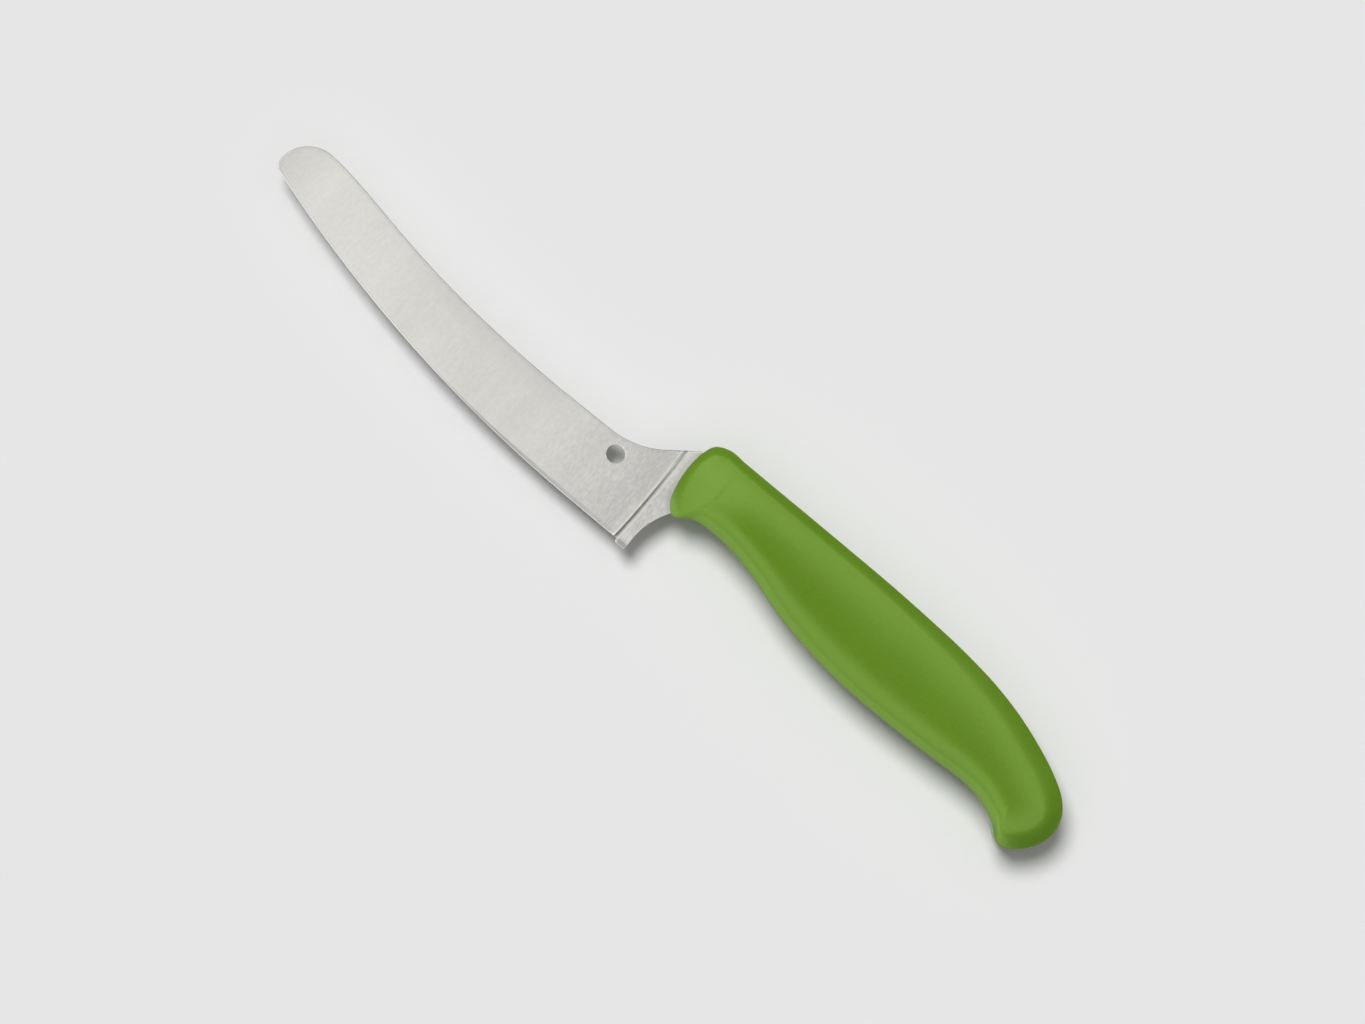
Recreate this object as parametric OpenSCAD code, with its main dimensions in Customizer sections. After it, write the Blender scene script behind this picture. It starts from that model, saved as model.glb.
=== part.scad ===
// Small offset kitchen knife: one steel blade with a hidden tang, and a moulded handle around the tang.
// It lies on its side: +X runs from the tip to the butt, +Y from the cutting edge to the back, +Z is up.
// Lengths are in millimetres. While a piece is drawn, x = 0 is the handle's foremost point,
// y = 0 is the straight part of the cutting edge, and z = 0 is the plane that halves the blade.

/* [Blade] */
// Length of the blade from the tip to the handle
blade_length = 112.7; // [100:0.1:140]
// Thickness of the steel sheet
stock_t = 1.5; // [1.2:0.1:2]
// Height of the spine at the waist, where the blade is lowest
waist_height = 17.4; // [15:0.1:20]
// Distance of the waist ahead of the handle
waist_x = 33.5; // [30:0.1:45]
// Radius of the round tip
tip_r = 8; // [7:0.1:10]
// Height of the tip's centre above the cutting edge
tip_height = 16.4; // [15.5:0.1:19]
// Slope of the spine where it runs into the tip, in degrees
spine_slope = 2; // [0:0.5:8]

/* [Cutting edge] */
// Length of the straight part of the cutting edge, at the heel
edge_flat = 14.5; // [10:0.5:25]
// Height that the curved part of the edge gains up to the tip
edge_rise = 14.7; // [12:0.1:15.5]
// Width of the sharpened bevel along the edge
bevel_w = 0.6; // [0.4:0.05:1]
// Thickness of the blade just behind the bevel
edge_t = 0.3; // [0.2:0.05:0.5]
// Thickness of the sharp edge itself
edge_land = 0.06; // [0.04:0.01:0.1]
// Height above the edge at which the grind runs out into the full sheet
grind_height = 25; // [22:0.5:30]
// Radius of the step where the grind ends at the heel
plunge_r = 0.8; // [0.7:0.1:1.2]

/* [Heel and neck] */
// Distance of the grind's end ahead of the handle
plunge_x = 2.25; // [2:0.05:5]
// Depth of the heel below the cutting edge
heel_drop = 0.85; // [0.5:0.05:1.5]
// Corner radius of the heel
heel_r = 0.8; // [0.4:0.1:1.2]
// Reach of the heel back under the handle
heel_reach = 0.98; // [0.2:0.02:1.5]
// Radius of the finger notch behind the heel
notch_r = 17.5; // [12:0.5:30]
// Height of the steel's upper side where it enters the handle
neck_height = 26.8; // [25:0.1:28]
// Height of the spine where the neck begins to climb
neck_foot_height = 17.7; // [16:0.1:20]
// Slope of the neck, in degrees
neck_slope = 37.5; // [30:0.5:45]
// Radius at the foot of the neck
neck_r = 20.5; // [10:0.5:25]

/* [Hanging hole] */
// Diameter of the hole
hole_d = 4.2; // [3:0.1:6]
// Distance of the hole ahead of the handle
hole_x = 14.15; // [12:0.05:20]
// Height of the hole above the cutting edge
hole_height = 14.15; // [10:0.05:14.5]

/* [Tang] */
// Length of the tang inside the handle
tang_length = 86; // [60:0.5:95]
// Diameter of the holes that the handle's plastic fills
lock_d = 5; // [3:0.1:6]
// Number of these holes
lock_count = 3; // [1:1:4]
// Corner radius at the tang's end
tang_end_r = 3; // [1:0.1:3.5]

/* [Handle] */
// Length of the handle
handle_length = 113.4; // [105:0.1:135]
// Height of the handle's back above the cutting edge
handle_back = 31.1; // [30:0.1:33]
// Depth of the handle from its back to the lower corner of the butt
handle_depth = 28.85; // [27:0.05:34]
// Greatest thickness of the handle
handle_t = 15.5; // [13:0.1:19]
// Width of the rounding at the nose
nose_roll = 2; // [1:0.1:4]
// Width of the rounding along the middle of the back
back_roll = 2.7; // [1.5:0.1:5]
// Width of the rounding at the butt
butt_roll = 4.4; // [2:0.1:6]
// Width of the rounding along the belly
belly_roll = 2.2; // [1.5:0.1:5]
// Drop of the rounding from the side face to the wall along the back
roll_drop = 0.7; // [0.3:0.1:1.5]

/* [Hidden] */

// Overrun of the cuts, and the longest straight step along a curve of the blade
over = 1;
step = 3;

// Handle outline from the nose to the butt, each row a point on the back and one on the belly:
// [back x, back depth, belly x, belly depth, thickness], with x as a share of the handle's length,
// depth as a share of its depth below the back, and thickness as a share of the greatest one
handle_shares = [
    [0.000, 0.295, 0.000, 0.295, 0.59],
    [0.004, 0.152, 0.005, 0.478, 0.60],
    [0.014, 0.059, 0.016, 0.600, 0.63],
    [0.040, 0.006, 0.034, 0.672, 0.70],
    [0.082, 0.004, 0.078, 0.592, 0.82],
    [0.144, 0.003, 0.144, 0.582, 0.95],
    [0.232, 0.001, 0.223, 0.632, 0.99],
    [0.338, 0.000, 0.311, 0.730, 0.99],
    [0.444, 0.001, 0.417, 0.802, 1.00],
    [0.549, 0.012, 0.523, 0.835, 1.00],
    [0.646, 0.033, 0.629, 0.832, 1.00],
    [0.735, 0.075, 0.717, 0.819, 0.99],
    [0.805, 0.136, 0.787, 0.804, 0.98],
    [0.858, 0.202, 0.840, 0.820, 0.97],
    [0.902, 0.268, 0.889, 0.892, 0.95],
    [0.937, 0.333, 0.931, 1.000, 0.95],
    [0.966, 0.404, 0.970, 0.915, 0.95],
    [0.990, 0.510, 0.992, 0.794, 0.95],
    [1.000, 0.645, 1.000, 0.645, 0.95]
];
// Steps from one row to the next, and the rows where the crest along the handle's sides starts and ends
row_steps = 4;
crest_first = 4;
crest_last = 14;
// Place of the crest between back and belly
crest_share = 0.66;
// How much of the thickness is lost from the crest to the back, the belly, the nose and the butt
crown_shares = [0.28, 0.225, 0.12, 0.28];
// Drop of the rounding on the back, the belly, the nose and the butt, as shares of the one along the back
drop_shares = [1, 0.7, 0.65, 1.85];
// Places along the back, as shares of its length, of the widths named for the nose, the middle and the butt
roll_x_shares = [0.1, 0.45, 0.8];
// Places of the rings on the rounding, and of the rings between it and the crest
roll_shares = [0, 0.35, 0.7, 1];
side_shares = [0.33, 0.67];
// Widest that the rounding may be, as a share of the way to the crest
roll_limit_share = 0.6;

// Depths of the tang's outline below the back, as shares of the handle's depth:
// its top at the nose, at half length and at the end, and its underside behind the notch and at the end
tang_top_shares = [0.13, 0.17, 0.31];
tang_foot_share = 0.47;
tang_under_shares = [0.52, 0.54];
// Places along the handle, as shares of its length: tang's nose corner, notch end, foot and middle
tang_x_shares = [0.03, 0.0485, 0.1, 0.5];
notch_depth_share = 0.58;
// Places of the first and last lock hole along the tang
lock_span_shares = [0.22, 0.82];

function mix(a, b, t) = a + (b - a) * t;
function square_of(x) = x * x;

// Points of a cubic curve from a to d with the control points b and c, n steps
function cubic(a, b, c, d, n) = [
    for (i = [0:n])
    let (t = i / n, s = 1 - t)
    s * s * s * a + 3 * s * s * t * b + 3 * s * t * t * c + t * t * t * d
];

// Points of an arc about c, from angle a0 to angle a1
function arc(c, r, a0, a1) =
    let (n = ceil(max(abs(a1 - a0) * PI / 180 * r / step, abs(a1 - a0) / 12, 2)))
    [for (i = [0:n]) c + r * [cos(mix(a0, a1, i / n)), sin(mix(a0, a1, i / n))]];

// Centre of the circle of radius r through a and b, on the right of the way from a to b
function centre_right(a, b, r) =
    let (d = b - a, half = norm(d) / 2)
    (a + b) / 2 + [d.y, -d.x] / norm(d) * sqrt(r * r - half * half);

// Angle of the way from p to q, within half a turn of the +X direction
function heading(p, q) = atan2(q.y - p.y, q.x - p.x);

// Cutting edge: straight at the heel, then one arc up to the tip
edge_start = -plunge_x - edge_flat;
edge_run = blade_length + edge_start;
edge_r = (square_of(edge_run) + square_of(edge_rise)) / (2 * edge_rise);
edge_centre = [edge_start, edge_r];
edge_steps = ceil(edge_run / step);
function edge_point(a) = edge_centre - edge_r * [sin(a), cos(a)];

// Tip: an arc from the spine to the foremost point, and a small round corner down to the edge
tip_centre = [tip_r - blade_length, tip_height];
tip_front = [-blade_length, tip_height];
tip_corner = [-blade_length, edge_rise];
tip_angle = asin((edge_run - 0.2 * tip_r) / edge_r);
tip_pulls = [mix(tip_front, tip_corner, 2 / 3), mix(edge_point(tip_angle), tip_corner, 2 / 3)];

// Spine: one smooth curve from the waist to the tip's arc
waist = [-waist_x, waist_height];
spine_end = tip_centre + tip_r * [sin(spine_slope), cos(spine_slope)];
spine_run = waist.x - spine_end.x;
spine_pull_shares = [0.6, 0.2];
waist_pull = waist - [spine_pull_shares[0] * spine_run, 0];
tip_pull = spine_end + spine_pull_shares[1] * spine_run * [1, -tan(spine_slope)];

// Neck: a straight slope up to the handle's foremost point, with an arc at its foot
neck_top = [0, neck_height];
neck_foot_x = -(neck_height - neck_foot_height) / tan(neck_slope);
neck_centre = [neck_foot_x - neck_r * tan(neck_slope / 2), neck_foot_height + neck_r];

// Heel, which starts a little behind the end of the grind, and the notch that ends inside the handle
heel_gap = 0.15 * heel_r;
heel_round = min(heel_r, 0.95 * heel_drop);
heel_front = [heel_gap - plunge_x, 0];
heel_back = [heel_reach, -heel_drop];
heel_centre = heel_front + [heel_round, heel_round - heel_drop];
notch_end = [tang_x_shares[1] * handle_length, depth_y(notch_depth_share)];
notch_centre = centre_right(heel_back, notch_end, notch_r);

// Tang: its height follows the handle, so that plastic is left above and below
function depth_y(share) = handle_back - handle_depth * share;
tang_top = [
    [tang_x_shares[0] * handle_length, depth_y(tang_top_shares[0])],
    [tang_x_shares[3] * handle_length, depth_y(tang_top_shares[1])],
    [tang_length, depth_y(tang_top_shares[2])]
];
tang_under = [
    [tang_x_shares[2] * handle_length, depth_y(tang_foot_share)],
    [tang_x_shares[3] * handle_length, depth_y(tang_under_shares[0])],
    [tang_length, depth_y(tang_under_shares[1])]
];
tang_end_round = min(tang_end_r, 0.45 * (tang_top[2].y - tang_under[2].y));
tang_end_inset = [-tang_end_round, tang_end_round];

// Outline of the steel, counterclockwise from the heel
blade_outline = concat(
    [heel_back],
    [for (p = arc(notch_centre, -notch_r, heading(heel_back, notch_centre), heading(notch_end, notch_centre)))
        if (norm(p - heel_back) > edge_land) p],
    [tang_under[0], tang_under[1]],
    arc(tang_under[2] + tang_end_inset, tang_end_round, -90, 0),
    arc(tang_top[2] - [tang_end_round, tang_end_round], tang_end_round, 0, 90),
    [tang_top[1], tang_top[0], neck_top],
    arc(neck_centre, neck_r, neck_slope - 90, -90),
    cubic(waist, waist_pull, tip_pull, spine_end, ceil(spine_run / step)),
    [for (i = [1:6]) tip_centre + tip_r * [cos(mix(90 - spine_slope, 180, i / 6)),
        sin(mix(90 - spine_slope, 180, i / 6))]],
    [for (p = cubic(tip_front, tip_pulls[0], tip_pulls[1], edge_point(tip_angle), 4)) if (p != tip_front) p],
    [for (i = [1:edge_steps]) edge_point(mix(tip_angle, 0, i / edge_steps))],
    [heel_front],
    arc(heel_centre, heel_round, 180, 270)
);

// Handle outline: a smooth closed curve through the rows
row_count = len(handle_shares);
last_row = row_count - 1;
function row_point(side, i) =
    i < 0 ? row_point(1 - side, -i)
    : i > last_row ? row_point(1 - side, 2 * last_row - i)
    : [handle_shares[i][2 * side] * handle_length, depth_y(handle_shares[i][2 * side + 1])];

// Direction of the curve at a row, weighted towards the nearer neighbour
function row_heading(side, i) =
    let (
        before = row_point(side, i) - row_point(side, i - 1),
        after = row_point(side, i + 1) - row_point(side, i),
        b = norm(before),
        a = norm(after)
    )
    (before / b * a + after / a * b) / (a + b);

function between_rows(side, i, t) =
    let (
        p = row_point(side, i),
        q = row_point(side, i + 1),
        d = norm(q - p)
    )
    p * (1 + 2 * t) * square_of(1 - t)
    + q * (3 - 2 * t) * square_of(t)
    + row_heading(side, i) * d * t * square_of(1 - t)
    - row_heading(side, i + 1) * d * (1 - t) * square_of(t);

half_count = last_row * row_steps;
ring_count = 2 * half_count;

// Sample j of one side, counted from the nose
function side_point(side, j) =
    let (i = min(floor(j / row_steps), last_row - 1))
    between_rows(side, i, j / row_steps - i);

// Sample s of the closed ring: along the back to the butt, and along the belly to the nose again
function ring_side(s) = s <= half_count ? 0 : 1;
function ring_pair(s) = s <= half_count ? s : ring_count - s;
rim_points = [for (s = [0:ring_count - 1]) side_point(ring_side(s), ring_pair(s))];

// Crest along the middle of each side of the handle, and the thickness there
crest_start = crest_first * row_steps;
crest_end = crest_last * row_steps;
crest_count = crest_end - crest_start + 1;
function crest_index(s) = min(max(ring_pair(s), crest_start), crest_end) - crest_start;
crest_points = [
    for (j = [crest_start:crest_end])
    mix(side_point(0, j), side_point(1, j), crest_share)
];
function height_at(x) =
    handle_t / 2 * lookup(x / handle_length,
        [for (row = handle_shares) [mix(row[0], row[2], crest_share), row[4]]]);
crest_heights = [for (p = crest_points) height_at(p.x)];

// A value at a sample, from the ones on the back, the belly, the nose and the butt
function own_value(s, values) =
    let (
        j = ring_pair(s),
        along = min(1, min(j, half_count - j) / (3 * row_steps)),
        end = j < half_count / 2 ? values[2] : values[3]
    )
    mix(end, values[ring_side(s)], square_of(along) * (3 - 2 * along));

// Width of the rounding at a sample
function roll_at(s, reach) =
    let (
        x_share = rim_points[s].x / handle_length,
        back = lookup(x_share, [
            [roll_x_shares[0], nose_roll],
            [roll_x_shares[1], back_roll],
            [roll_x_shares[2], butt_roll]
        ])
    )
    min(own_value(s, [back, belly_roll, nose_roll, butt_roll]), roll_limit_share * reach);

// Height of the handle's side at a share of the way from the rim to the crest, where the point lies at x
function side_height(s, share, x) =
    let (crest = ring_pair(s) < crest_start ? height_at(min(x, crest_points[0].x)) : crest_heights[crest_index(s)])
    crest * (1 - own_value(s, crown_shares) * square_of(1 - share));

roll_rings = len(roll_shares);
rings = roll_rings + len(side_shares);

// Point of ring k over sample s, on the upper side (up = 1) or the lower side (up = -1)
function skin_point(s, k, up) =
    let (
        rim = rim_points[s],
        crest = crest_points[crest_index(s)],
        reach = norm(crest - rim),
        roll_share = roll_at(s, reach) / reach,
        place = k < roll_rings ? roll_shares[k] : 1,
        share = k < roll_rings ? roll_share * place : mix(roll_share, 1, side_shares[k - roll_rings]),
        p = mix(rim, crest, share),
        drop = roll_drop * own_value(s, drop_shares) * square_of(1 - place)
    )
    [p.x, p.y, up * (side_height(s, share, p.x) - drop)];

skin_points = concat(
    [for (p = rim_points) [p.x, p.y, 0]],
    [for (up = [1, -1], k = [0:rings - 1], s = [0:ring_count - 1]) skin_point(s, k, up)],
    [for (up = [1, -1], c = [0:crest_count - 1]) [crest_points[c].x, crest_points[c].y, up * crest_heights[c]]]
);

// Place of a vertex in the list: ring -1 is the rim, and the last ring is followed by the crest
function skin_index(half, k, s) =
    k < 0 ? s % ring_count
    : k < rings ? ring_count * (1 + half * rings + k) + s % ring_count
    : ring_count * (1 + 2 * rings) + half * crest_count + crest_index(s % ring_count);

// Two triangles between the rings k - 1 and k, turned over on the lower side, without the empty ones at the crest's ends
function turned(face, half) = half == 0 ? face : [face[0], face[2], face[1]];
skin_faces = [
    for (half = [0, 1], k = [0:rings], s = [0:ring_count - 1])
    let (
        a = skin_index(half, k - 1, s),
        b = skin_index(half, k - 1, s + 1),
        c = skin_index(half, k, s + 1),
        d = skin_index(half, k, s)
    )
    each (c == d ? [turned([a, b, c], half)] : [turned([a, b, c], half), turned([a, c, d], half)])
];

// The part stands centred over its bounding box, with the handle's side on z = 0
rim_x_max = max([for (p = rim_points) p.x]);
rim_y_max = max([for (p = rim_points) p.y]);
module in_place() {
    translate([(blade_length - rim_x_max) / 2, (heel_drop - rim_y_max) / 2, handle_t / 2])
        children();
}

// Steel sheet in its outline, with the holes of the tang that the plastic fills
module steel_sheet() {
    difference() {
        linear_extrude(stock_t, center = true) polygon(blade_outline);
        for (i = [0:lock_count - 1])
            translate(lock_place(i))
                cylinder(h = stock_t + 2 * over, d = lock_d, center = true, $fn = 48);
    }
}

// Place of a lock hole, in the middle of the tang's height
function lock_place(i) =
    let (
        share = lock_count == 1 ? 0.5 : i / (lock_count - 1),
        x = tang_length * mix(lock_span_shares[0], lock_span_shares[1], share)
    )
    [x, (lookup(x, tang_top) + lookup(x, tang_under)) / 2, 0];

// Section of the grind, d up from the edge: the bevel, which is cut from a little beyond the edge,
// then the flat that runs out into the sheet
bevel_tan = (edge_t - edge_land) / 2 / bevel_w;
bevel_over = edge_land / 4 / bevel_tan;
grind_tan = (stock_t - edge_t) / 2 / (grind_height - bevel_w);
function grind_z(d) = edge_t / 2 + (d - bevel_w) * grind_tan;
grind_top = grind_height + over;
grind_section = [
    [-over, edge_land / 4],
    [-bevel_over, edge_land / 4],
    [bevel_w, edge_t / 2],
    [grind_top, grind_z(grind_top)],
    [grind_top, stock_t],
    [-over, stock_t]
];

// Grind along the straight edge
module flat_grind() {
    translate([edge_start, 0, 0])
        rotate([90, 0, 90])
            linear_extrude(edge_flat - plunge_r) polygon(grind_section);
}

// Grind that follows the curved edge round to the tip, from the end of the straight part on
module curved_grind() {
    sweep = asin(edge_run / edge_r) + asin(2 * over / edge_r);
    translate(edge_centre)
        rotate([0, 0, -90])
            rotate_extrude(angle = -sweep, $fn = 360)
                polygon([for (p = grind_section) [edge_r - p.x, p.y]]);
}

// Rounded end of the grind at the heel, leaning with the grind
module plunge() {
    lean = atan(grind_tan);
    end = [for (i = [0:5]) plunge_r * [sin(18 * i), 1 - cos(18 * i)]];
    translate([-plunge_x - plunge_r, grind_top, grind_z(grind_top)])
        rotate([90 + lean, 0, 0])
            linear_extrude((grind_top + over) / cos(lean))
                polygon(concat(end, [[plunge_r, stock_t], [0, stock_t]]));
}

module blade() {
    color([0.80, 0.80, 0.78])
        in_place()
            difference() {
                steel_sheet();
                flat_grind();
                curved_grind();
                plunge();
                mirror([0, 0, 1]) flat_grind();
                mirror([0, 0, 1]) curved_grind();
                mirror([0, 0, 1]) plunge();
                translate([-hole_x, hole_height, 0])
                    cylinder(h = stock_t + 2 * over, d = hole_d, center = true, $fn = 48);
            }
}

// The handle is moulded around the tang, so it touches the steel all over and fills the lock holes
module handle() {
    color([0.36, 0.52, 0.13])
        in_place()
            difference() {
                polyhedron(points = skin_points, faces = skin_faces, convexity = 6);
                steel_sheet();
            }
}

blade();
handle();
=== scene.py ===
"""Looks of the small offset kitchen knife: a ground steel blade with a tang, and a handle moulded around it.

Shapes are worked out in millimetres in the same drawing frame as the CAD part: x = 0 is the handle's foremost
point, y = 0 the straight part of the cutting edge, and z = 0 the plane that halves the blade.
"""

import math

import bpy
import numpy as np
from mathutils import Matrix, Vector
from mathutils.geometry import delaunay_2d_cdt


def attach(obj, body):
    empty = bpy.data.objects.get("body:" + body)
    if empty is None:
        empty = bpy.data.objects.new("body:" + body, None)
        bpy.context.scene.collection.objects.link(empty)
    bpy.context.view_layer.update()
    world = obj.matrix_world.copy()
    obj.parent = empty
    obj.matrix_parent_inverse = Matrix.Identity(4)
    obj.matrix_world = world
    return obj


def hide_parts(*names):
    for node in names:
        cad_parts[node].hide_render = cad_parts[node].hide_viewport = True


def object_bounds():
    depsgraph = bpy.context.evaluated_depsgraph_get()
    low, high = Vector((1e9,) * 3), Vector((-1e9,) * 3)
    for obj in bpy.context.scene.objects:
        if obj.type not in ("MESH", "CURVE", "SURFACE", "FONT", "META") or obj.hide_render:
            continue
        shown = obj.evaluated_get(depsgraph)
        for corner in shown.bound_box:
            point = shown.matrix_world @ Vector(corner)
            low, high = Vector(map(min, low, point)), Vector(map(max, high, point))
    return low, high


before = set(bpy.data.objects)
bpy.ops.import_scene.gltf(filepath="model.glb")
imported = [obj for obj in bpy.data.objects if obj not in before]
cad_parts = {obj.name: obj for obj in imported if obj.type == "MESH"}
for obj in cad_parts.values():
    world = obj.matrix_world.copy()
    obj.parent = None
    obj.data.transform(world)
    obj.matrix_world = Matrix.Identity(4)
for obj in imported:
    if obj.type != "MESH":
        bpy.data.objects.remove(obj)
cad_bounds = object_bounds()

MM = 0.001

# Blade, as in the CAD part
BLADE_LENGTH = 112.7
STOCK_T = 1.5
WAIST = (-33.5, 17.4)
TIP_R = 8.0
TIP_HEIGHT = 16.4
SPINE_SLOPE = 2.0
# Pulls of the spine's curve at the waist and at the tip, as shares of its run
SPINE_PULLS = (0.6, 0.2)

# Cutting edge, grind and the step where the grind ends, as in the CAD part
EDGE_FLAT = 14.5
EDGE_RISE = 14.7
BEVEL_W = 0.6
EDGE_T = 0.3
GRIND_HEIGHT = 25.0
PLUNGE_R = 0.8
PLUNGE_X = 2.25
# The curved edge ends behind the tip's foremost point by this share of the tip's radius
TIP_START_SHARE = 0.2

# Heel, finger notch and neck, as in the CAD part
HEEL_DROP = 0.85
HEEL_R = 0.8
HEEL_REACH = 0.98
HEEL_START_SHARE = 0.15
HEEL_ROUND_LIMIT = 0.95
NOTCH_R = 17.5
NOTCH_DEPTH_SHARE = 0.58
NECK_HEIGHT = 26.8
NECK_FOOT_HEIGHT = 17.7
NECK_SLOPE = 37.5
NECK_R = 20.5

# Hanging hole, as in the CAD part
HOLE = (-14.15, 14.15)
HOLE_R = 2.1

# Tang and the holes that lock it, as in the CAD part
TANG_LENGTH = 86.0
TANG_TOP_SHARES = (0.13, 0.17, 0.31)
TANG_UNDER_SHARES = (0.47, 0.52, 0.54)
# Places along the handle, as shares of its length: tang's nose corner, notch end, foot and middle
TANG_X_SHARES = (0.03, 0.0485, 0.1, 0.5)
TANG_END_R = 3.0
TANG_ROUND_LIMIT = 0.45
LOCK_R = 2.5
LOCK_COUNT = 3
LOCK_SPAN_SHARES = (0.22, 0.82)

# Sharp bevel: its width near the heel and along the curve, the places between which that changes, what it
# takes off each side, and how far ahead of and past the foot of the step it dies out
BEVEL_WIDTHS = (0.22, 0.24)
BEVEL_CHANGE = (-26.0, -36.0)
BEVEL_DROP = 0.12
BEVEL_END = (1.2, 0.2)

# Step where the grind ends: its width, how late it climbs, and its bow as (height of its rear end, bend)
PLUNGE_W = 0.6
PLUNGE_POWER = 2.5
PLUNGE_BOW = (10.8, 0.0022)

# Rounding of the sheet's rim: its width at the heel and along the spine, the heights between which that
# changes, its most as a share of half the sheet there, and how far inside the handle it dies out
RIM_WIDTHS = (0.16, 0.38)
RIM_HEIGHTS = (13.0, 15.0)
RIM_DROP_LIMIT = 0.75
HIDDEN_RUN = 0.8
# Rounding of the heel's rear corner, and width of the broken edge of the hole
HEEL_CORNER = 0.6
HOLE_BREAK = 0.10

# Handle, as in the CAD part
HANDLE_LENGTH = 113.4
HANDLE_BACK = 31.1
HANDLE_DEPTH = 28.85
HANDLE_T = 15.5
# Width of the rounding between side face and wall at the nose, on the back, at the butt and on the belly
NOSE_ROLL = 2.0
BACK_ROLL = 2.7
BUTT_ROLL = 4.4
BELLY_ROLL = 2.2
# Places along the back, as shares of its length, where the first three of these count
ROLL_X_SHARES = (0.1, 0.45, 0.8)
ROLL_LIMIT_SHARE = 0.6
# Drop of the rounding, and its shares on the back, the belly, the nose and the butt
ROLL_DROP = 0.7
DROP_SHARES = (1.0, 0.7, 0.65, 1.85)
# What the thickness loses from the crest to the back, the belly, the nose and the butt
CROWN_SHARES = (0.28, 0.225, 0.12, 0.28)
# Place of the crest between back and belly, and the rows where it starts and ends
CREST_SHARE = 0.66
CREST_FIRST = 4
CREST_LAST = 14
# Outline from the nose to the butt: rows of [back x, back depth, belly x, belly depth, thickness], in shares
HANDLE_SHARES = (
    (0.000, 0.295, 0.000, 0.295, 0.59),
    (0.004, 0.152, 0.005, 0.478, 0.60),
    (0.014, 0.059, 0.016, 0.600, 0.63),
    (0.040, 0.006, 0.034, 0.672, 0.70),
    (0.082, 0.004, 0.078, 0.592, 0.82),
    (0.144, 0.003, 0.144, 0.582, 0.95),
    (0.232, 0.001, 0.223, 0.632, 0.99),
    (0.338, 0.000, 0.311, 0.730, 0.99),
    (0.444, 0.001, 0.417, 0.802, 1.00),
    (0.549, 0.012, 0.523, 0.835, 1.00),
    (0.646, 0.033, 0.629, 0.832, 1.00),
    (0.735, 0.075, 0.717, 0.819, 0.99),
    (0.805, 0.136, 0.787, 0.804, 0.98),
    (0.858, 0.202, 0.840, 0.820, 0.97),
    (0.902, 0.268, 0.889, 0.892, 0.95),
    (0.937, 0.333, 0.931, 1.000, 0.95),
    (0.966, 0.404, 0.970, 0.915, 0.95),
    (0.990, 0.510, 0.992, 0.794, 0.95),
    (1.000, 0.645, 1.000, 0.645, 0.95),
)
LAST_ROW = len(HANDLE_SHARES) - 1

# What the handle's walls lean in, and the heights of the rings on them, as shares
DRAFT = 0.08
WALL_SHARES = (0.6, 0.98)
# Steps from one row to the next, on the rounding, and from the rounding to the crest
ROW_STEPS = 10
ROLL_STEPS = 14
SIDE_STEPS = 9
# Rows over which the sides' values go over into the ends', and rows that the butt reaches round the hook
END_ROWS = 3
BUTT_HOOK = 1.5
# The crest's height is evened out with a bell curve: its width, its reach each way and its samples
CREST_BLUR = 2.5
CREST_REACH = 6.0
CREST_SAMPLES = 25
# Parting line of the mould around the rim: half its width and its depth
PARTING_HALF = 0.12
PARTING_DEPTH = 0.06

# Steps along the outline of the blade and of its room in the handle, on small arcs and on the heel
BLADE_STEP = 0.8
SLOT_STEP = 2.0
ARC_STEP = 0.5
HEEL_STEP = 0.1
# Steps round the tip, at the tang's ends and along its sides, as shares of the outline's own
TIP_STEP_SHARE = 0.6
TANG_END_SHARE = 2
TANG_SIDE_SHARE = 4
# Steps of the heel's rear corner and of the tip's lower corner, and the largest turn of an arc's step
HEEL_CORNER_STEPS = 6
TIP_CORNER_STEPS = 10
ARC_TURN = 8
# Sides of the hanging hole and of the lock holes
HOLE_SIDES = 64
LOCK_SIDES = 48

# Rings along the rims: angles on the rounding of the blade's rim and of the hole, distances from the bevel's
# corner, depths behind it, and the outer ring around the hole
RIM_ANGLES = (15, 30, 45, 58, 70, 80, 90)
HOLE_ANGLES = (15, 30, 45, 60, 75, 90)
BEVEL_GAPS = (-0.03, 0, 0.03)
BEHIND_BEVEL = (0.6, 0.9)
HOLE_RING = 0.35
# A ring's point is kept where it is this share of its depth, less the slack, away from the outline
RING_SHARE = 0.97
RING_SLACK = 0.001
MITRE_LIMIT = 0.35
# Columns along the step where the grind ends, as shares of its width, their lowest point and their spacing
COLUMN_SHARES = (-1.2, -0.4, 0, 0.15, 0.3, 0.45, 0.58, 0.7, 0.8, 0.88, 0.95, 1, 1.1, 1.6)
COLUMN_FOOT = -0.9
COLUMN_STEP = 0.7
# Even net on the rest of the faces: its spacing, its lowest row, and what it leaves free beside the step
NET_X = 1.2
NET_Y = 1.1
NET_FOOT = -1.0
NET_GAPS = (0.9, 0.6)
# What stays free beside the outline, for the net and for the rings, and around the holes
NET_MARGIN = 1.3
RING_MARGIN = 0.01
HOLE_MARGIN = 0.5

# Lengths that count as nothing: squared, for the width of a rounding, and between points that are one
NO_LENGTH_SQUARED = 1e-12
NO_WIDTH = 1e-6
MERGE_DISTANCE = 1e-7

# Edges sharper than these angles stay sharp
BLADE_SHARP = 50
HANDLE_SHARP = 38
# Length of the blade's flat UV map, in metres
UV_SPAN = 0.25

# Where the drawing frame lies in the frame of the part
PLACE = np.array([
    cad_bounds[0][0] / MM + BLADE_LENGTH,
    cad_bounds[0][1] / MM + HEEL_DROP,
    HANDLE_T / 2,
])


def in_part_frame(points):
    """Points of the drawing frame, in millimetres, as metres in the frame of the part."""
    return (np.asarray(points, float) + PLACE) * MM


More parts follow.
